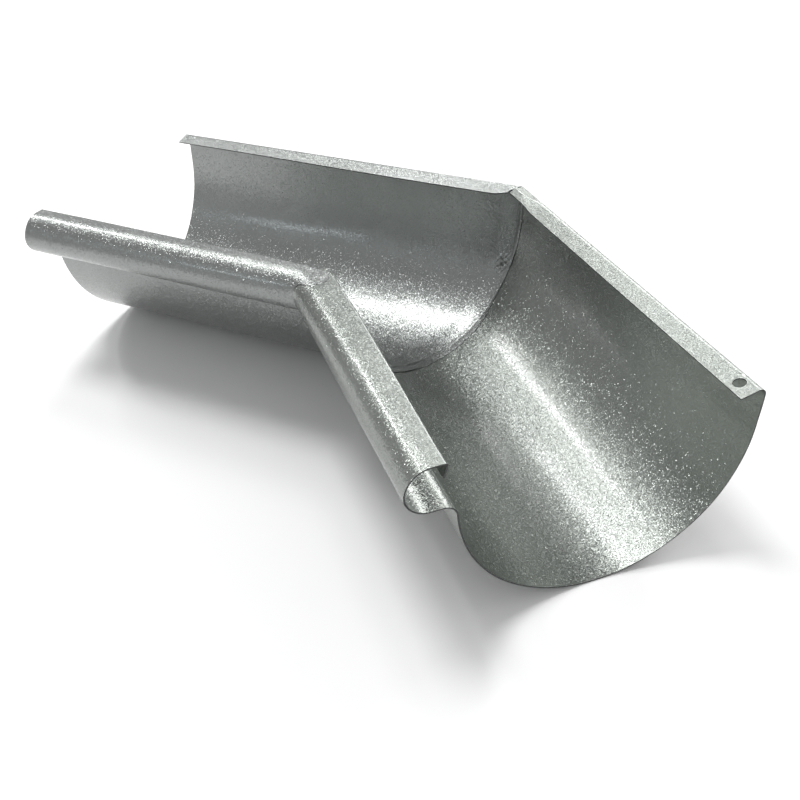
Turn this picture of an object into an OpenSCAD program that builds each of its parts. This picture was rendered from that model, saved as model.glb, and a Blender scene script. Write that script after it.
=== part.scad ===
// Internal gutter angle for a half-round roof gutter, made of two mitred lengths of rolled sheet steel.
// The rear edge of the gutter, folded inward, is on the +Y side.
// The rolled bead is on the -Y side, inside the angle. The mitre is a plane square to X.
// Millimetres. The origin is on the floor, at the middle of the box around the part.

/* [Trough] */
// Outside diameter of the half-round trough
trough_diameter = 125; // [75:1:200]
// Thickness of the steel sheet
sheet_thickness = 0.6; // [0.5:0.05:1.2]
// Height of the folded rear edge above the centre of the half-round
rear_rise = 16.5; // [10:0.5:30]

/* [Rear flange] */
// Width of the inward flange, from the outside of the rear wall to its cut edge
flange_width = 10; // [8:0.1:20]
// Slope of the flange, falling towards the trough
flange_slope = 14; // [0:1:30]
// Outside radius of the fold between rear wall and flange
fold_radius = 2.4; // [1.5:0.1:3]

/* [Bead] */
// Outside diameter of the rolled bead
bead_diameter = 20.4; // [12:0.1:25]
// Outside radius of the swage between trough and bead
swage_radius = 5; // [3:0.5:10]
// Angle below the horizontal at which the trough wall turns into the swage
swage_angle = 3.4; // [2:0.1:15]
// Flat length under the bead, between swage and curl
bead_foot = 4.7; // [2:0.1:8]
// Flat length on top of the bead
bead_top_flat = 4.5; // [2:0.1:8]
// Outside radius of the bend between the flat top and the lip
lip_bend_radius = 1.2; // [1.2:0.1:3]
// Length of the lip that turns down into the bead
lip_length = 5; // [2:0.1:8]
// Lean of the lip towards the inside of the bead
lip_lean = 13; // [0:1:20]

/* [Angle] */
// Inside angle between the two arms
inside_angle = 135; // [90:1:150]
// Length of the left arm along the middle of the bead, from the mitre to the cut end
left_arm_length = 164; // [100:1:300]
// Length of the right arm along the middle of the bead, from the mitre to the cut end
right_arm_length = 146; // [100:1:300]

/* [Lap seam] */
// Reach of the left sheet past the mitre, inside the right sheet, over the bottom of the trough
lap_reach = 5; // [3:0.5:10]
// Reach of the right sheet past the mitre, under the left sheet, over the bottom of the trough
underlap_reach = 3.5; // [2:0.5:8]
// Reach of either sheet past the mitre on the rear wall
wall_lap_reach = 1.2; // [1:0.1:3]
// Length over which the left sheet steps inward beside the right sheet's edge
joggle_length = 1; // [0.8:0.1:3]
// Height left free between the lap and the top of the rear fold
lap_clearance = 4; // [3.5:0.5:8]
// Angle left free between the lap and the swage
lap_margin_angle = 2; // [1:0.5:6]

/* [Hole] */
// Diameter of the round hole in the right flange
hole_diameter = 5; // [3:0.1:8]
// Distance from the hole centre to the cut end of the right arm
hole_end_distance = 7.6; // [5:0.1:20]
// Distance from the hole centre to the cut edge of the flange, along its slope
hole_edge_distance = 4.4; // [4:0.1:6]

/* [Hidden] */
$fn = 96;
trough_radius = trough_diameter / 2;
bead_radius = bead_diameter / 2;
half_angle = inside_angle / 2;
swage_centre = [
    trough_radius + (trough_radius + swage_radius) * cos(swage_angle),
    -(trough_radius + swage_radius) * sin(swage_angle)
];
bead_centre = [swage_centre[0] + bead_foot, swage_centre[1] + swage_radius + bead_radius];
fold_centre = [fold_radius, rear_rise - fold_radius];
flange_flat = (flange_width - fold_radius * (1 + sin(flange_slope))) / cos(flange_slope);
outer_edge = bead_centre[0] + bead_radius;
mitre_setback = bead_centre[0] / tan(half_angle);
left_rear_length = left_arm_length + mitre_setback;
right_rear_length = right_arm_length + mitre_setback;
longest_rear_length = max(left_rear_length, right_rear_length);
part_depth = longest_rear_length * cos(half_angle) + outer_edge * sin(half_angle);
mitre_place = (left_rear_length - right_rear_length) / 2 * sin(half_angle);
far_side = 2 * (longest_rear_length + outer_edge);
lap_top = rear_rise - lap_clearance;
// Where the seam widens, as shares of the trough's diameter, measured along the mitre from the rear corner
seam_widening_shares = [0.13, 0.3];
// A bend is this much thinner than the sheet on each side, and runs on by this angle at each end
join_inset = 0.02;
join_angle = 3;
quarter_turn = 90;
half_turn = 180;
full_turn = 360;

// The half of the plane that lies to the left of a line through the centre, at an angle to X
module left_of_line(angle, reach) {
    rotate(angle)
        translate([-reach, 0])
            square([2 * reach, reach]);
}

// A curved strip of sheet, up to half a turn: outer radius, thickness, first and last angle
module bent_strip(radius, thickness, first_angle, last_angle) {
    intersection() {
        difference() {
            circle(r = radius);
            circle(r = radius - thickness);
        }
        left_of_line(first_angle, 2 * radius);
        left_of_line(last_angle - half_turn, 2 * radius);
    }
}

// A bend of the sheet, by its outer radius, whose ends run inside the stretches on either side of it
module joining_bend(outer_radius, first_angle, last_angle) {
    bent_strip(outer_radius - join_inset, sheet_thickness - 2 * join_inset,
        first_angle - join_angle, last_angle + join_angle);
}

// The half-round with its straight rear wall, as a strip set in from the outer face
module trough_strip(inset, thickness, wall_top, free_angle) {
    translate([trough_radius, 0])
        bent_strip(trough_radius - inset, thickness, half_turn, full_turn - swage_angle - free_angle);
    translate([inset, 0])
        square([thickness, wall_top]);
}

// The inward fold and sloping flange along the rear edge
module flange_strip() {
    translate(fold_centre) {
        joining_bend(fold_radius, quarter_turn - flange_slope, half_turn);
        rotate(-flange_slope)
            translate([0, fold_radius - sheet_thickness])
                square([flange_flat, sheet_thickness]);
    }
}

// The swage, between the half-round and the foot of the bead
module swage_strip() {
    translate([trough_radius, 0])
        rotate(-swage_angle)
            translate([trough_radius + swage_radius, 0])
                joining_bend(swage_radius + sheet_thickness, quarter_turn + swage_angle, half_turn);
}

// The bead: its flat foot, the curl, the flat top and the lip turned down into it
module bead_strip() {
    translate(bead_centre) {
        translate([-bead_foot, -bead_radius])
            square([bead_foot, sheet_thickness]);
        bent_strip(bead_radius, sheet_thickness, -quarter_turn, quarter_turn);
        translate([-bead_top_flat, bead_radius - sheet_thickness])
            square([bead_top_flat, sheet_thickness]);
        translate([-bead_top_flat, bead_radius - lip_bend_radius]) {
            joining_bend(lip_bend_radius, quarter_turn, half_turn + lip_lean);
            rotate(lip_lean)
                translate([-lip_bend_radius, -lip_length])
                    square([sheet_thickness, lip_length]);
        }
    }
}

// The whole rolled section of the gutter
module gutter_section() {
    trough_strip(0, sheet_thickness, fold_centre[1], 0);
    flange_strip();
    swage_strip();
    bead_strip();
}

// What is left of the section where the other sheet takes the place of its trough
module section_beside_lap() {
    wall_end = full_turn - swage_angle;
    flange_strip();
    translate([0, lap_top])
        square([sheet_thickness, fold_centre[1] - lap_top]);
    translate([trough_radius, 0])
        bent_strip(trough_radius, sheet_thickness, wall_end - lap_margin_angle, wall_end);
    swage_strip();
    bead_strip();
}

// The right sheet's underlap, in the place of the left sheet
module underlap_section() {
    trough_strip(0, sheet_thickness, lap_top, lap_margin_angle);
}

// The left sheet where it lies inside the right one, or steps in to it at twice the thickness
module lap_section(inset, thickness) {
    trough_strip(inset, thickness, lap_top - sheet_thickness, 2 * lap_margin_angle);
}

// Puts a section drawn flat along the left arm, which runs down and away from the rear corner
module along_left_arm() {
    rotate([quarter_turn, 0, -half_angle])
        translate([0, 0, -outer_edge])
            linear_extrude(height = left_rear_length + outer_edge)
                children();
}

// The same along the right arm
module along_right_arm() {
    mirror([1, 0, 0])
        rotate([quarter_turn, 0, -half_angle])
            translate([0, 0, -outer_edge])
                linear_extrude(height = right_rear_length + outer_edge)
                    children();
}

// An upright band across the mitre, with one pair of X limits at the rear wall and another over the bottom
module mitre_band(rear_from, rear_to, bottom_from, bottom_to) {
    rear_y = -seam_widening_shares[0] * trough_diameter;
    bottom_y = -seam_widening_shares[1] * trough_diameter;
    translate([0, 0, -far_side])
        linear_extrude(height = 2 * far_side)
            polygon([
                [rear_from, far_side], [rear_from, rear_y],
                [bottom_from, bottom_y], [bottom_from, -far_side],
                [bottom_to, -far_side], [bottom_to, bottom_y],
                [rear_to, rear_y], [rear_to, far_side]
            ]);
}

// Puts the part on the floor, with the middle of its box over the origin
module on_floor() {
    translate([mitre_place, part_depth / 2, trough_radius])
        children();
}

// The hole through the flange of the right arm
module flange_hole() {
    mirror([1, 0, 0])
        rotate([quarter_turn, 0, -half_angle])
            translate([fold_centre[0], fold_centre[1], right_rear_length - hole_end_distance])
                rotate([0, 0, -flange_slope])
                    translate([flange_flat - hole_edge_distance, 0, 0])
                        rotate([-quarter_turn, 0, 0])
                            cylinder(d = hole_diameter, h = 2 * fold_radius);
}

module left_arm() {
    color("#a3a7a6")
        on_floor() {
            intersection() {
                along_left_arm()
                    gutter_section();
                mitre_band(-far_side, -wall_lap_reach, -far_side, -underlap_reach);
            }
            intersection() {
                along_left_arm()
                    section_beside_lap();
                mitre_band(-wall_lap_reach, 0, -underlap_reach, 0);
            }
            intersection() {
                along_left_arm()
                    lap_section(0, 2 * sheet_thickness);
                mitre_band(-wall_lap_reach - joggle_length, -wall_lap_reach,
                    -underlap_reach - joggle_length, -underlap_reach);
            }
            intersection() {
                along_left_arm()
                    lap_section(sheet_thickness, sheet_thickness);
                mitre_band(-wall_lap_reach, 0, -underlap_reach, 0);
            }
            intersection() {
                along_right_arm()
                    lap_section(sheet_thickness, sheet_thickness);
                mitre_band(0, wall_lap_reach, 0, lap_reach);
            }
        }
}

module right_arm() {
    color("#9b9f9d")
        on_floor() {
            difference() {
                intersection() {
                    along_right_arm()
                        gutter_section();
                    mitre_band(0, far_side, 0, far_side);
                }
                flange_hole();
            }
            intersection() {
                along_left_arm()
                    underlap_section();
                mitre_band(-wall_lap_reach, 0, -underlap_reach, 0);
            }
        }
}

left_arm();
right_arm();
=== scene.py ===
"""Looks of an internal gutter angle: two mitred lengths of rolled steel in silver flake paint.

Lengths are in millimetres in the section, and turned to metres where a mesh is made.
"""

import math

import bpy
import numpy as np
from mathutils import Matrix, Vector


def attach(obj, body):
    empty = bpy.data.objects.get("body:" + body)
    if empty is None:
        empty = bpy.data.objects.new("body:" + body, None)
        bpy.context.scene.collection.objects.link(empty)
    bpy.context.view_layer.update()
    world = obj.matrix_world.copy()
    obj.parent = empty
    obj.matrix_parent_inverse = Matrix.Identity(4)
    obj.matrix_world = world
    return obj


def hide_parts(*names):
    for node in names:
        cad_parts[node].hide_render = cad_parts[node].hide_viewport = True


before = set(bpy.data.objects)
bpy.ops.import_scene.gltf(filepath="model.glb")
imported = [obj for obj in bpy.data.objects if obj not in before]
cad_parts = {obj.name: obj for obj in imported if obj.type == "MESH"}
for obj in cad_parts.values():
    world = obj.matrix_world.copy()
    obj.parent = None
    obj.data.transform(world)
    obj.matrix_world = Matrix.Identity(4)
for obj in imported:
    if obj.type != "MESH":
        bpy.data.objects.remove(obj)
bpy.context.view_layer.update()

# ---------------------------------------------------------------- sizes, as in the solids
TROUGH_R = 62.5
SHEET = 0.6
REAR_RISE = 16.5
FLANGE_WIDTH = 10.0
FLANGE_SLOPE = math.radians(14)
BEAD_R = 10.2
SWAGE_R = 5.0
SWAGE_ANGLE = math.radians(3.4)
BEAD_FOOT = 4.7
BEAD_TOP_FLAT = 4.5
LIP_BEND_R = 1.2
LIP_LENGTH = 5.0
LIP_LEAN = math.radians(13)
HALF_ANGLE = math.radians(67.5)
LEFT_ARM = 164.0
RIGHT_ARM = 146.0
LAP = 5.0
UNDERLAP = 3.5
WALL_LAP = 1.2
HOLE_R = 2.5
HOLE_END = 7.6
HOLE_EDGE = 4.4

SWAGE_CENTRE = (
    TROUGH_R + (TROUGH_R + SWAGE_R) * math.cos(SWAGE_ANGLE),
    -(TROUGH_R + SWAGE_R) * math.sin(SWAGE_ANGLE),
)
BEAD_CENTRE = (SWAGE_CENTRE[0] + BEAD_FOOT, SWAGE_CENTRE[1] + SWAGE_R + BEAD_R)
SETBACK = BEAD_CENTRE[0] / math.tan(HALF_ANGLE)
LEFT_REAR = LEFT_ARM + SETBACK
RIGHT_REAR = RIGHT_ARM + SETBACK
OUTER_EDGE = BEAD_CENTRE[0] + BEAD_R
DEPTH = max(LEFT_REAR, RIGHT_REAR) * math.cos(HALF_ANGLE) + OUTER_EDGE * math.sin(HALF_ANGLE)
MITRE_X = (LEFT_REAR - RIGHT_REAR) / 2 * math.sin(HALF_ANGLE)
PLACE = np.array([MITRE_X, DEPTH / 2, TROUGH_R])

# ---------------------------------------------------------------- sizes of the hand-made shapes
# the real fold is rounder than the drawn one, and the wall leans out under it by this much,
# from a little under the centre of the half-round to most of the way up
FOLD_R = 3.0
LEAN = 0.6
LEAN_HEIGHTS = (-4, 12)
# the laps widen between these distances from the rear edge
WIDENING = (15, 35)
# the tongue in which the left bead ends, and how much shorter it is on the bead's flat top
TONGUE = 12
TONGUE_TOP_CUT = 5.2
# how far from the rear edge the straight inner edge of the left bead crosses the mitre
LEFT_INNER_EDGE = 131.9
# the stretch of the rear wall that holds the crumpled spot, in degrees round the half-round
CRUMPLED = (20, 38)

# ---------------------------------------------------------------- fineness of the mesh
# steps from the flange's free edge to the hole, and across the hole, both ways
EDGE_STEPS = 4
HOLE_STEPS = 10
# the grid is moved up to this far from the hole's centre
HOLE_BLEND = 4.2
# distances of the rows from the cut end, on either side of the hole
BEFORE_HOLE = [0, 0.9, 1.8, 2.7, 3.5, 4.3]
AFTER_HOLE = [10.9, 11.9, 13, 14.2]
# the rows crowd towards the seam from this distance on, by this power
NEAR_SEAM = 34.0
CROWDING = 1.5
MIDDLE_STEPS = 45
SEAM_STEPS = 71


def smooth(x, low, high):
    """0 below low, 1 above high, and the cubic 3t2 - 2t3 between them."""
    t = np.clip((x - low) / (high - low), 0, 1)
    return t * t * (3 - 2 * t)


def near(x, far, close):
    """0 further than far from the mitre, 1 nearer than close, and smooth between them."""
    return smooth(-x, -far, -close)


def bell(x, middle, width):
    """The bell curve exp of minus the square of (x - middle) / width."""
    return np.exp(-(((x - middle) / width) ** 2))


# ---------------------------------------------------------------- the rolled section
def arc(centre, radius, first, last, count):
    """Points at radius round centre, at count even angles from first to last."""
    a = np.linspace(first, last, count)
    return np.stack([centre[0] + radius * np.cos(a), centre[1] + radius * np.sin(a)], -1)


def line(start, end, count):
    """Points at even steps from start to end."""
    t = np.linspace(0, 1, count)[:, None]
    return np.asarray(start, float) * (1 - t) + np.asarray(end, float) * t


def rolled_section():
    """The middle of the sheet as one path of lines and arcs, from the flange to the end of the lip.

    Returns the way along the path, which is 0 at the flange's cut edge, the points (u, z) and the
    unit normals towards the inner face there, and the way at which each stretch ends. The path
    starts before the cut edge, so that the flange can be made wider.
    """
    fine, coarse = 60, 20
    half = SHEET / 2
    turn = math.pi / 2
    fold = (FOLD_R - LEAN, REAR_RISE - FOLD_R)
    up = np.array([math.sin(FLANGE_SLOPE), math.cos(FLANGE_SLOPE)])
    along = np.array([up[1], -up[0]])
    flat_start = np.array(fold) + up * (FOLD_R - half)
    flat = (FLANGE_WIDTH - fold[0] - FOLD_R * up[0]) / up[1]
    spare = 3.0
    top = BEAD_CENTRE[1] + BEAD_R - half
    bend = (BEAD_CENTRE[0] - BEAD_TOP_FLAT, BEAD_CENTRE[1] + BEAD_R - LIP_BEND_R)
    lip_way = np.array([math.sin(LIP_LEAN), -math.cos(LIP_LEAN)])
    lip_start = np.array(bend) + (LIP_BEND_R - half) * np.array([lip_way[1], -lip_way[0]])
    foot = BEAD_CENTRE[1] - BEAD_R + half
    stretches = [
        line(flat_start + along * (flat + spare), flat_start, fine),
        arc(fold, FOLD_R - half, turn - FLANGE_SLOPE, 2 * turn, fine),
        line((half, fold[1]), (half, 0), fine),
        arc((TROUGH_R, 0), TROUGH_R - half, 2 * turn, 4 * turn - SWAGE_ANGLE, 10 * fine),
        arc(SWAGE_CENTRE, SWAGE_R + half, 2 * turn - SWAGE_ANGLE, turn, fine),
        line((SWAGE_CENTRE[0], foot), (BEAD_CENTRE[0], foot), coarse),
        arc(BEAD_CENTRE, BEAD_R - half, -turn, turn, 8 * coarse),
        line((BEAD_CENTRE[0], top), (bend[0], top), coarse),
        arc(bend, LIP_BEND_R - half, turn, 2 * turn + LIP_LEAN, fine),
        line(lip_start, lip_start + LIP_LENGTH * lip_way, coarse),
    ]
    rear_wall, trough = stretches[2:4]
    for part in (rear_wall, trough):
        part[:, 0] -= LEAN * smooth(part[:, 1], *LEAN_HEIGHTS) * (part[:, 0] < TROUGH_R)
    points = np.concatenate([s if i == 0 else s[1:] for i, s in enumerate(stretches)])
    steps = np.linalg.norm(np.diff(points, axis=0), axis=1)
    way = np.concatenate([[0], np.cumsum(steps)]) - spare
    ends = np.cumsum([len(s) - (i > 0) for i, s in enumerate(stretches)]) - 1
    tangent = np.gradient(points, way, axis=0)
    tangent /= np.linalg.norm(tangent, axis=1, keepdims=True)
    normals = np.stack([-tangent[:, 1], tangent[:, 0]], -1)
    return way, points, normals, way[ends]


WAY, PATH, NORMALS, ENDS = rolled_section()
FLANGE_END, FOLD_END, WALL_END, TROUGH_END, SWAGE_END = ENDS[:5]
FOOT_END, CURL_END, TOP_END, LIP_BEND_END, LIP_END = ENDS[5:]


def columns():
    """Places along the section for the mesh's columns, close over the bends and the crumpled spot.

    Each run starts at a way and goes in so many even steps to the start of the next.
    """
    runs = [
        (0, EDGE_STEPS),
        (HOLE_EDGE - HOLE_R, HOLE_STEPS),
        (HOLE_EDGE + HOLE_R, 1),
        (FLANGE_END, 14),
        (FOLD_END, 12),
        (WALL_END, 14),
        (WALL_END + TROUGH_R * math.radians(CRUMPLED[0]), 34),
        (WALL_END + TROUGH_R * math.radians(CRUMPLED[1]), 106),
        (TROUGH_END, 14),
        (SWAGE_END, 5),
        (FOOT_END, 44),
        (CURL_END, 7),
        (TOP_END, 10),
        (LIP_BEND_END, 5),
    ]
    ends = [start for start, _ in runs[1:]] + [LIP_END]
    parts = [
        np.linspace(start, end, steps, endpoint=False)
        for (start, steps), end in zip(runs, ends)
    ]
    return np.concatenate([*parts, [LIP_END]])


def mesh_piece(name, vertices, quads, materials, sharp=math.radians(40)):
    """A mesh from whole arrays of points in metres and of quads, smooth but for sharp edges.

    The material of each quad is its number in the last column of quads. An edge is sharp where its
    faces turn by more than the sharp angle.
    """
    corners, finish = quads[:, :4], quads[:, 4]
    mesh = bpy.data.meshes.new(name)
    mesh.vertices.add(len(vertices))
    mesh.vertices.foreach_set("co", vertices.astype(np.float32).ravel())
    mesh.loops.add(corners.size)
    mesh.loops.foreach_set("vertex_index", corners.astype(np.int32).ravel())
    mesh.polygons.add(len(corners))
    mesh.polygons.foreach_set("loop_start", np.arange(0, corners.size, 4, dtype=np.int32))
    mesh.polygons.foreach_set("loop_total", np.full(len(corners), 4, dtype=np.int32))
    for material in materials:
        mesh.materials.append(material)
    mesh.polygons.foreach_set("material_index", finish.astype(np.int32))
    mesh.polygons.foreach_set("use_smooth", np.ones(len(corners), dtype=bool))
    mesh.update(calc_edges=True)
    mesh.set_sharp_from_angle(angle=sharp)
    piece = bpy.data.objects.new(name, mesh)
    bpy.context.scene.collection.objects.link(piece)
    return piece


# ---------------------------------------------------------------- the grid of one length of sheet
def rows(column_way, side, stop):
    """Distance x from the mitre for every row and column, in three runs from the end to the seam.

    The first run keeps even distances from the cut end, the second goes in even shares to 34 mm
    from the mitre, and the third goes to each column's own stop at the seam, in shares
    1 - (1 - t)^1.5 that crowd towards it.
    """
    from_end = np.concatenate([
        BEFORE_HOLE,
        np.linspace(HOLE_END - HOLE_R, HOLE_END + HOLE_R, HOLE_STEPS + 1),
        AFTER_HOLE,
    ])
    rear = LEFT_REAR if side < 0 else RIGHT_REAR
    u = np.interp(column_way, WAY, PATH[:, 0])
    end = math.sin(HALF_ANGLE) * rear - math.cos(HALF_ANGLE) * u
    near_end = end[None] - from_end[:, None] * math.sin(HALF_ANGLE)
    share = np.linspace(0, 1, MIDDLE_STEPS + 1)[1:, None]
    middle = near_end[-1] + (NEAR_SEAM - near_end[-1])[None] * share
    crowded = 1 - (1 - np.linspace(0, 1, SEAM_STEPS + 1)[1:, None]) ** CROWDING
    seam = NEAR_SEAM + (stop - NEAR_SEAM)[None] * crowded
    return np.concatenate([near_end, middle, seam])


def round_hole(way, x, side):
    """Moves the grid round the hole so that a square of it, 2.5 mm to each side, becomes a circle.

    With m the larger and e the straight distance from the centre, each point goes towards the
    centre by m / e, wholly at m = 2.5 mm and less and less up to 4.2 mm.
    """
    rear = RIGHT_REAR * math.sin(HALF_ANGLE)
    u = np.interp(way, WAY, PATH[:, 0])
    from_end = (rear - math.cos(HALF_ANGLE) * u - x) / math.sin(HALF_ANGLE) - HOLE_END
    from_edge = way - HOLE_EDGE
    larger = np.maximum(np.abs(from_end), np.abs(from_edge))
    straight = np.hypot(from_end, from_edge) + 1e-9
    pull = 1 + (larger / straight - 1) * (1 - smooth(larger, HOLE_R, HOLE_BLEND))
    new_way = HOLE_EDGE + from_edge * pull
    new_u = np.interp(new_way, WAY, PATH[:, 0])
    new_from_end = HOLE_END + from_end * pull
    new_x = rear - math.cos(HALF_ANGLE) * new_u - new_from_end * math.sin(HALF_ANGLE)
    inside = (larger < HOLE_BLEND) & (side > 0)
    return np.where(inside, new_way, way), np.where(inside, new_x, x)


def seam_stop(way, u, angle, side):
    """How far each column runs past the mitre, where x is negative, and where the sheets lap.

    The left sheet laps into the right one by 1.2 mm on the wall and 5 mm over the bottom, and its
    bead runs on over the right one in a ragged tongue. The right sheet reaches under the left one
    by 1.2 to 3.5 mm. The lap is 1 from the rear wall to the front of the trough, and 0 elsewhere.
    """
    lapped = smooth(way, FOLD_END + 0.5, FOLD_END + 3)
    lapped = lapped * (1 - smooth(angle, 350, 356) * (way > WALL_END))
    lapped = lapped * (way < TROUGH_END)
    wide = smooth(u, *WIDENING)
    if side > 0:
        # the flat top and the lip start where the left bead's straight inner edge crosses them
        cut_back = ((LEFT_INNER_EDGE - u) / (2 * math.cos(HALF_ANGLE))).clip(0, 7)
        reach = lapped * (WALL_LAP + (UNDERLAP - WALL_LAP) * wide)
        return cut_back * (way > CURL_END) - reach, lapped
    stop = -lapped * (WALL_LAP + (LAP - WALL_LAP) * wide)
    # the cut over the bottom wavers by up to 0.25 mm
    stop = stop - 0.25 * lapped * wide * np.sin(u * 0.9) * np.sin(u * 0.37 + 1)
    length = TONGUE - TONGUE_TOP_CUT * smooth(way, CURL_END, TOP_END + 1)
    tongue = smooth(way, CURL_END - 10, CURL_END - 1.5) * length
    torn = (way > CURL_END - 8) * (way < TOP_END)
    ragged = 1.3 * np.abs(np.sin(way * 2.1)) * np.sin(way * 1.1 + 2) * torn
    stop = stop - tongue - ragged
    flange_cut = 1.9 * smooth(way, FLANGE_END, 2)
    return stop + np.where(way < FLANGE_END, flange_cut, 0), lapped


# ---------------------------------------------------------------- the shape of one length of sheet
def folded_flange(way, x, side):
    """Point and inward normal of the section at each way, with the flange as it was bent by hand.

    The left flange is wider than drawn by 0.4 mm at the cut end, 1.4 mm before the corner and 1 mm
    at the corner. The right one is 0.6 mm wider, and 1.3 mm narrower at the corner. There the crest
    of the fold is pressed inward, and leaves a flat facet between it and the outer edge. The end of
    the left flange is creased by 0.22 mm.
    """
    free = np.clip(1 - way / FLANGE_END, 0, 1)
    if side < 0:
        wider = 0.4 + 1.0 * near(x, 180, 40) - 0.4 * near(x, 12, 1)
    else:
        wider = 0.6 - 1.9 * near(x, 24, 4)
    flange_way = way - free * wider
    u = np.interp(flange_way, WAY, PATH[:, 0])
    z = np.interp(flange_way, WAY, PATH[:, 1])
    nu = np.interp(flange_way, WAY, NORMALS[:, 0])
    nz = np.interp(flange_way, WAY, NORMALS[:, 1])
    size = np.hypot(nu, nz)

    on_flange = way <= FOLD_END
    crest = FLANGE_END + 0.4 * (FOLD_END - FLANGE_END)
    outer_corner = FLANGE_END + 0.72 * (FOLD_END - FLANGE_END)
    knots = [-3, crest, outer_corner, FOLD_END]
    crest_u = 6.3 if side > 0 else 3.6
    pressed_u = np.interp(way, knots, [11.2, crest_u, 0.6, SHEET / 2 - LEAN])
    pressed_z = np.interp(way, knots, [14.6, 16.6, 15.6, REAR_RISE - FOLD_R])
    pressed = (1 - smooth(x, 7, 24) if side > 0 else 1 - smooth(x, 0, 8)) * on_flange
    u = u + pressed * (pressed_u - u)
    z = z + pressed * (pressed_z - z)
    if side < 0:
        patch = bell(x, 8, 7) * bell(way, FLANGE_END + 1, 3.0) * on_flange
        z = z + 0.22 * patch * np.sin(x * 1.9 + way * 1.3) * np.sin(x * 0.8 - way * 2.1 + 1)
    return u, z, nu / size, nz / size


def bead_top_edge(way, x, side):
    """How far the inner edge of the bead's flat top lies outward from the drawn one.

    The left flat top narrows towards the corner by 1.6 mm and then 0.9 mm more, and the right one
    widens by 2.3 mm.
    """
    inner_edge = smooth(way, CURL_END - 2, TOP_END)
    reach = np.clip(1 - x / 126, 0, 1)
    if side < 0:
        return inner_edge * (1.6 * reach + 0.9 * near(x, 6, -4))
    return inner_edge * (-2.3 * np.minimum(1, 1.5 * reach))


def beaten_seam(way, x, section, lapped, side):
    """The section with its seam beaten together, and the sheet's thickness there.

    The left sheet steps in beside the right one's edge, and thins out at the lap's edge and in its
    tongue over the bead. The right bead dips under the tongue. Both beads keep the marks of the
    hammer, 0.09 mm and 0.035 mm high.
    """
    u, z, nu, nz = section
    thick = np.full(x.shape, SHEET)
    tongue_zone = smooth(way, CURL_END - 12, CURL_END - 4)
    if side < 0:
        step_at = WALL_LAP + (UNDERLAP - WALL_LAP) * smooth(u, *WIDENING)
        step = (SHEET + 0.03) * near(x - step_at, 10, 0) * np.minimum(1, lapped * 3)
        u, z = u + nu * step, z + nz * step
        thick = thick - 0.45 * tongue_zone * near(x, -2, -8) - 0.4 * lapped * near(x, 1, -1)
        beaten = tongue_zone * near(x, 4, -2) * (way < TOP_END + 1)
    else:
        z = z - tongue_zone * (0.2 + 0.47 * near(x, 7, 2)) * (1 - smooth(x, 9, 15))
        beaten = tongue_zone * (1 - smooth(x, 9, 15)) * (way < TOP_END + 1)
    z = z + 0.09 * beaten * np.sin(x * 2.3 + u * 1.1) * np.sin(u * 2.6 - x * 0.9)
    z = z + 0.035 * beaten * np.sin(x * 5.7 - u * 2.1) * np.sin(u * 6.1 + x * 1.9)
    return u, z, thick


def trough_waves(way, x, u, z, angle, side):
    """How far the trough's sheet lies inward of the drawn one.

    Soft swells that a rolled sheet keeps, 0.07 mm and 0.03 mm high, go only inward, so that the
    part stays on the floor, and die out towards the mitre and the trough's edges. Beside the seam
    the left sheet is crumpled on the rear wall and lifted by 0.25 mm on the front wall, and the
    right sheet has a dent of 0.25 mm.
    """
    in_trough = (way > WALL_END) * (way < TROUGH_END)
    long_wave = np.sin(x * 0.051 + z * 0.15 + u * 0.031 + side) * np.sin(u * 0.043 + 1.3 * side)
    swell = 0.07 * (1 + long_wave)
    swell = swell + 0.03 * (1 + np.sin(x * 0.113 + z * 0.3 + u * 0.071))
    swell = swell * in_trough * smooth(x, 4, 16)
    swell = swell * smooth(way, WALL_END, WALL_END + 15)
    swell = swell * (1 - smooth(way, TROUGH_END - 15, TROUGH_END))
    if side > 0:
        return swell - 0.25 * bell(x, 2.0, 2.6) * bell(angle, 204, 4.0) * in_trough
    spot = bell(x, 3.8, 3.2) * bell(angle, 207.5, 4.4) * in_trough
    around = TROUGH_R * np.radians(angle)
    crumple = np.sin(x * 2.1 + around * 0.6) * np.sin(around * 1.8 - x * 0.5)
    crumple = crumple + 0.4 * np.sin(x * 3.7 - around * 2.6 + 1)
    return swell + 0.5 * spot * crumple + 0.25 * bell(angle, 291, 6) * near(x, 6, -4) * in_trough


def hole_loop(index, first_row, first_column):
    """Index of the points on the square of the grid round the hole, in order round it."""
    none = np.zeros(HOLE_STEPS, int)
    rising = np.arange(HOLE_STEPS)
    full = np.full(HOLE_STEPS, HOLE_STEPS)
    falling = np.arange(HOLE_STEPS, 0, -1)
    row = first_row + np.concatenate([none, rising, full, falling])
    column = first_column + np.concatenate([rising, full, falling, none])
    return index[row, column]


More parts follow.
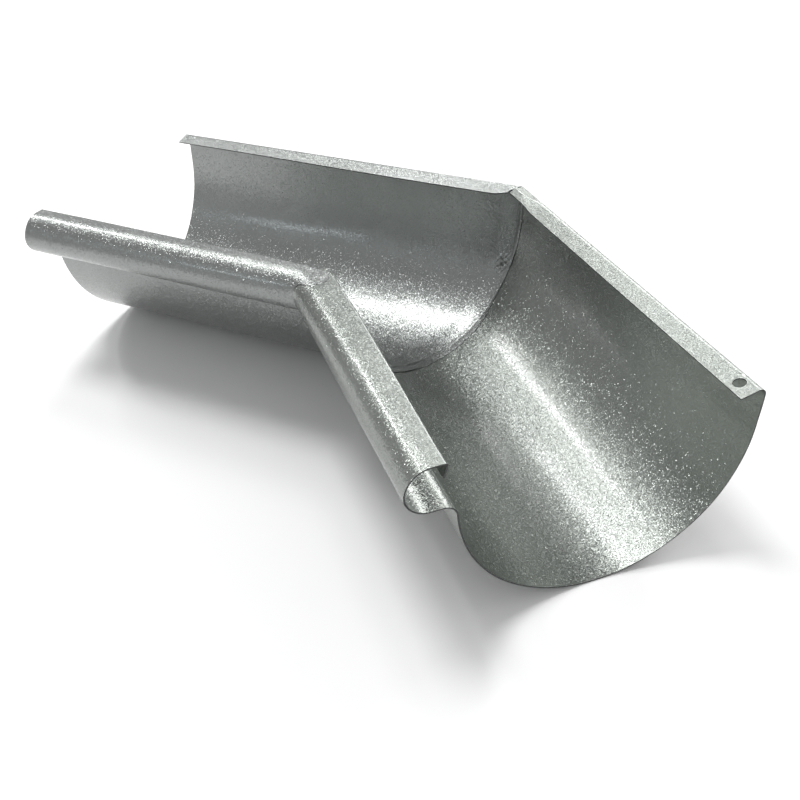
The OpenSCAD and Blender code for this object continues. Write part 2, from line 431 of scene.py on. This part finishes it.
def closed_shell(row_count, count, pierced):
    """Quads of a closed shell of rings, and the finish of each: 1 for a cut edge and 0 for paint.

    Each ring has count points on the outer face and as many back on the inner one. The ends are
    capped between the two faces. A pierced shell has the hole's square left out of both faces, and
    a wall between them.
    """
    around = 2 * count
    index = np.arange(row_count * around).reshape(row_count, around)
    following = np.roll(index, -1, axis=1)
    body = np.stack([index[:-1], index[1:], following[1:], following[:-1]], -1)
    finish = np.zeros(body.shape[:2], int)
    finish[:, [count - 1, around - 1]] = 1
    kept = np.ones(body.shape[:2], bool)
    cut = []
    if pierced:
        first_row, first_column = len(BEFORE_HOLE), EDGE_STEPS
        hole_rows = slice(first_row, first_row + HOLE_STEPS)
        kept[hole_rows, first_column : first_column + HOLE_STEPS] = False
        kept[hole_rows, -1 - first_column - HOLE_STEPS : -1 - first_column] = False
        outer = hole_loop(index, first_row, first_column)
        inner = hole_loop(index[:, ::-1], first_row, first_column)
        cut.append(np.stack([outer, inner, np.roll(inner, -1), np.roll(outer, -1)], -1))
    for ring, turn in ((index[0], 1), (index[-1], -1)):
        outer, inner = ring[:count], ring[count:][::-1]
        cut.append(np.stack([outer[:-1], outer[1:], inner[1:], inner[:-1]], -1)[:, ::turn])
    quads = np.concatenate([body[kept], *cut])
    finish = np.concatenate([finish[kept], np.ones(sum(len(c) for c in cut), int)])
    return quads, finish


def sheet_arm(name, side, materials):
    """One length of sheet: the section's two faces carried along the arm, from end to seam.

    A ring of points goes down the outer face and back up the inner one. x counts from the mitre
    plane towards the cut end. A point of the section at (u, z) lies at y = -(u + b cos h) / sin h,
    where h is half the angle and b is x, or the root of x2 + r2 less r / 2 near the mitre, where
    the bend has the radius r: 0.3 mm low down and up to 4.5 mm on the bead.
    """
    ways = columns()
    column_u = np.interp(ways, WAY, PATH[:, 0])
    column_z = np.interp(ways, WAY, PATH[:, 1])
    angle = np.degrees(np.arctan2(column_z, column_u - TROUGH_R)) % 360
    stop, lapped = seam_stop(ways, column_u, angle, side)
    grid_x = rows(ways, side, stop)
    way, x = round_hole(np.broadcast_to(ways, grid_x.shape), grid_x, side)

    u, z, nu, nz = folded_flange(way, x, side)
    u = u + bead_top_edge(way, x, side)
    u, z, thick = beaten_seam(way, x, (u, z, nu, nz), lapped, side)
    inward = trough_waves(way, x, u, z, np.broadcast_to(angle, x.shape), side)
    u, z = u + nu * inward, z + nz * inward

    bend_radius = 0.3 + 4.2 * smooth(z, 8, 19) * (way > FOOT_END)
    bent_x = np.sqrt(x * x + bend_radius**2) - 0.5 * bend_radius
    if side < 0:
        # the inner edge of the bead's flat top runs on straight past the mitre
        bent_x = bent_x + smooth(way, CURL_END - 1, TOP_END) * near(x, 8, 0) * (x - bent_x)
    faces = []
    for offset in (-SHEET / 2, thick - SHEET / 2):
        face_u, face_z = u + nu * offset, z + nz * offset
        y = -(face_u + bent_x * math.cos(HALF_ANGLE)) / math.sin(HALF_ANGLE)
        # the cut end stays square to the arm: x follows the offset and the moves of u
        moved = face_u - np.interp(way, WAY, PATH[:, 0])
        slant = smooth(x, 20, 120) * math.cos(HALF_ANGLE) * moved
        faces.append(np.stack([side * (x - slant), y, face_z], -1))
    rings = np.concatenate([faces[0], faces[1][:, ::-1]], axis=1) + PLACE
    quads, finish = closed_shell(len(rings), len(ways), pierced=side > 0)
    if side > 0:
        # the right sheet is a mirror image, so its quads turn round to face outward
        quads = quads[:, ::-1]
    vertices = rings.reshape(-1, 3) / 1000
    return mesh_piece(name, vertices, np.column_stack([quads, finish]), materials)


# ---------------------------------------------------------------- finish
def linear(hex_colour):
    """An sRGB hex colour as linear red, green, blue and alpha."""
    c = np.array([int(hex_colour[i : i + 2], 16) for i in (1, 3, 5)]) / 255
    c = np.where(c <= 0.04045, c / 12.92, ((c + 0.055) / 1.055) ** 2.4)
    return (*c.tolist(), 1.0)


def scale_of(per_mm):
    """The scale of a pattern on coordinates in metres, from how many of its cells lie in 1 mm."""
    return 1000 * per_mm


def add(tree, kind, links=(), **settings):
    """A node of this kind, with its settings. links gives an input and its value or source."""
    node = tree.nodes.new(kind)
    for key, value in settings.items():
        setattr(node, key, value)
    for key, value in links:
        if isinstance(value, bpy.types.NodeSocket):
            tree.links.new(value, node.inputs[key])
        else:
            node.inputs[key].default_value = value
    return node


def vector_math(tree, operation, *values):
    """The result of a vector operation on these inputs, in order."""
    return add(tree, "ShaderNodeVectorMath", enumerate(values), operation=operation).outputs[0]


def flake_paint(name, flake, dark):
    """Silver paint with mica flakes under a clear gloss coat.

    Each flake lies at its own small tilt, so the metal glitters near a highlight and is smooth away
    from it. A few flakes are tilted much more, and are the bright single points. The coat keeps a
    trace of the flakes under it. The real flakes are 0.1 mm across or less, and are drawn 0.37 mm
    across, 2.7 to the millimetre, so that they show at arm's length. The tone drifts over 45 mm.
    """
    tilt_of_all = 0.26
    tilt_of_few = 0.8
    rarity = 6.0
    coat_trace = (0.06, 0.06, 0.06)
    material = bpy.data.materials.new(name)
    material.use_nodes = True
    tree = material.node_tree
    tree.nodes.clear()
    place = add(tree, "ShaderNodeTexCoord").outputs["Object"]
    surface = add(tree, "ShaderNodeNewGeometry").outputs["Normal"]
    flakes = add(
        tree,
        "ShaderNodeTexVoronoi",
        [("Vector", place), ("Scale", scale_of(2.7))],
        feature="F1",
    ).outputs["Color"]
    cloud = add(
        tree,
        "ShaderNodeTexNoise",
        [("Vector", place), ("Scale", scale_of(0.022)), ("Detail", 3.0)],
    ).outputs["Fac"]

    tilt = vector_math(tree, "SUBTRACT", flakes, (0.5, 0.5, 0.5))
    pick = add(tree, "ShaderNodeSeparateColor", [("Color", flakes)]).outputs["Blue"]
    strong = add(tree, "ShaderNodeMath", [(0, pick), (1, rarity)], operation="POWER").outputs[0]
    amount = add(
        tree,
        "ShaderNodeMath",
        [(0, strong), (1, tilt_of_few), (2, tilt_of_all)],
        operation="MULTIPLY_ADD",
    ).outputs[0]
    scaled = add(
        tree,
        "ShaderNodeVectorMath",
        [(0, tilt), ("Scale", amount)],
        operation="SCALE",
    ).outputs[0]
    flake_normal = vector_math(tree, "NORMALIZE", vector_math(tree, "ADD", scaled, surface))
    rough_coat = vector_math(tree, "MULTIPLY_ADD", tilt, coat_trace, surface)
    coat_normal = vector_math(tree, "NORMALIZE", rough_coat)
    tone = add(
        tree,
        "ShaderNodeMix",
        [("Factor", cloud), ("A", linear(dark)), ("B", linear(flake))],
        data_type="RGBA",
    ).outputs["Result"]
    shader = add(
        tree,
        "ShaderNodeBsdfPrincipled",
        [
            ("Base Color", tone),
            ("Metallic", 1.0),
            ("Roughness", 0.33),
            ("Normal", flake_normal),
            ("Coat Weight", 0.5),
            ("Coat Roughness", 0.1),
            ("Coat Normal", coat_normal),
        ],
    ).outputs[0]
    add(tree, "ShaderNodeOutputMaterial", [("Surface", shader)])
    return material


def edge_painted_shade(name):
    """Dark grey for the sheet's cut edges, duller and darker than the paint: painted shade for the
    thin dark line along them, mottled over 1 mm.
    """
    material = bpy.data.materials.new(name)
    material.use_nodes = True
    tree = material.node_tree
    tree.nodes.clear()
    place = add(tree, "ShaderNodeTexCoord").outputs["Object"]
    marks = add(
        tree,
        "ShaderNodeTexNoise",
        [("Vector", place), ("Scale", scale_of(0.9)), ("Detail", 2.0)],
    ).outputs["Fac"]
    tone = add(
        tree,
        "ShaderNodeMix",
        [("Factor", marks), ("A", linear("#333434")), ("B", linear("#5c5e5e"))],
        data_type="RGBA",
    ).outputs["Result"]
    shader = add(
        tree,
        "ShaderNodeBsdfPrincipled",
        [("Base Color", tone), ("Metallic", 1.0), ("Roughness", 0.5)],
    ).outputs[0]
    add(tree, "ShaderNodeOutputMaterial", [("Surface", shader)])
    return material


# the cut edges get a dark grey that is painted shade for the thin dark line along them
edge = edge_painted_shade("edge_painted_shade_finish")
left_paint = flake_paint("silver_flake_paint_left", "#929593", "#828583")
right_paint = flake_paint("silver_flake_paint_right", "#919591", "#818581")
left = sheet_arm("left_sheet", -1, [left_paint, edge])
right = sheet_arm("right_sheet", 1, [right_paint, edge])
for piece, node, slot in ((left, "left_arm", "left_sheet"), (right, "right_arm", "right_sheet")):
    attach(piece, "root")
    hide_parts(node)

# ---------------------------------------------------------------- floor, light and camera
FLOOR_REACH = 6.0
white = bpy.data.materials.new("matt_white_floor")
white.use_nodes = True
white_inputs = white.node_tree.nodes["Principled BSDF"].inputs
white_inputs["Base Color"].default_value = (0.96, 0.96, 0.96, 1)
white_inputs["Roughness"].default_value = 0.9
white_inputs["Specular IOR Level"].default_value = 0.0
floor_corners = np.array([[-1, -1, 0], [1, -1, 0], [1, 1, 0], [-1, 1, 0]]) * FLOOR_REACH
floor = mesh_piece("floor", floor_corners, np.array([[0, 1, 2, 3, 0]]), [white])

world = bpy.data.worlds.new("studio")
bpy.context.scene.world = world
world.use_nodes = True
world.node_tree.nodes["Background"].inputs["Color"].default_value = (1, 1, 1, 1)
world.node_tree.nodes["Background"].inputs["Strength"].default_value = 0.53

LAMP_DISTANCE = 2.5
# the lamps stand round a point a little above the middle of the part
LAMP_LIFT = Vector((0, 0, 0.05))


def lamp(name, start, end, width, power, colour=(1, 1, 1)):
    """A flat lamp from one direction to another as seen from the part, turned to face it."""
    start = Vector(start).normalized() * LAMP_DISTANCE
    end = Vector(end).normalized() * LAMP_DISTANCE
    data = bpy.data.lights.new(name, "AREA")
    data.shape = "RECTANGLE"
    data.size, data.size_y = (end - start).length, width
    data.energy = power
    data.color = colour
    piece = bpy.data.objects.new(name, data)
    bpy.context.scene.collection.objects.link(piece)
    middle = (start + end) / 2
    back = middle.normalized()
    along = (end - start).normalized()
    along = (along - back * along.dot(back)).normalized()
    turned = Matrix((along, back.cross(along), back)).transposed().to_4x4()
    piece.matrix_world = Matrix.Translation(middle + LAMP_LIFT) @ turned
    return piece


# the broad highlight in the left trough, and the narrow bright line along the right one
lamp("main_softbox", (-0.45, 0.07, 0.89), (-0.20, -0.13, 0.96), 0.68, 27)
lamp("line_tube", (-0.81, 0.05, 0.59), (-0.64, -0.07, 0.76), 0.10, 6.5)
# the left flange, and the trough in front of the highlight
lamp("top_panel", (-0.58, 0.34, 0.74), (-0.40, 0.26, 0.88), 0.35, 7)
# the far end of that line, and the band along the left bead
lamp("far_tube", (-0.90, 0.03, 0.43), (-0.72, -0.05, 0.69), 0.15, 4)
# the flat tops of the beads, and the front wall of the right trough
lamp("back_window", (-0.62, 0.64, 0.45), (0.05, 0.86, 0.50), 0.8, 24)
# the faint cold streak along the left rear wall
lamp("side_window", (-0.26, -0.86, 0.43), (-0.15, -0.90, 0.40), 0.1, 1.4, (0.85, 0.93, 1.0))

# the camera, from the outer corner of the mitre at the height of the half-round's centre
CAMERA_EYE = (298.59, -358.67, 220.11)
CAMERA_FORWARD = (-0.59947, 0.52984, -0.59992)
CAMERA_UP = (-0.42526, 0.42414, 0.79953)
FOCAL_SHARE = 907.98 / 800
SENSOR = 36.0
camera = bpy.data.objects.new("camera", bpy.data.cameras.new("camera"))
bpy.context.scene.collection.objects.link(camera)
bpy.context.scene.camera = camera
forward = Vector(CAMERA_FORWARD).normalized()
up = Vector(CAMERA_UP)
up = (up - forward * up.dot(forward)).normalized()
turned = Matrix((forward.cross(up), up, -forward)).transposed().to_4x4()
eye = (np.array(CAMERA_EYE) + PLACE) / 1000
camera.matrix_world = Matrix.Translation(Vector(eye)) @ turned
camera.data.sensor_width = SENSOR
camera.data.lens = FOCAL_SHARE * SENSOR
camera.data.clip_start, camera.data.clip_end = 0.01, 50

bpy.context.scene.view_settings.view_transform = "Standard"
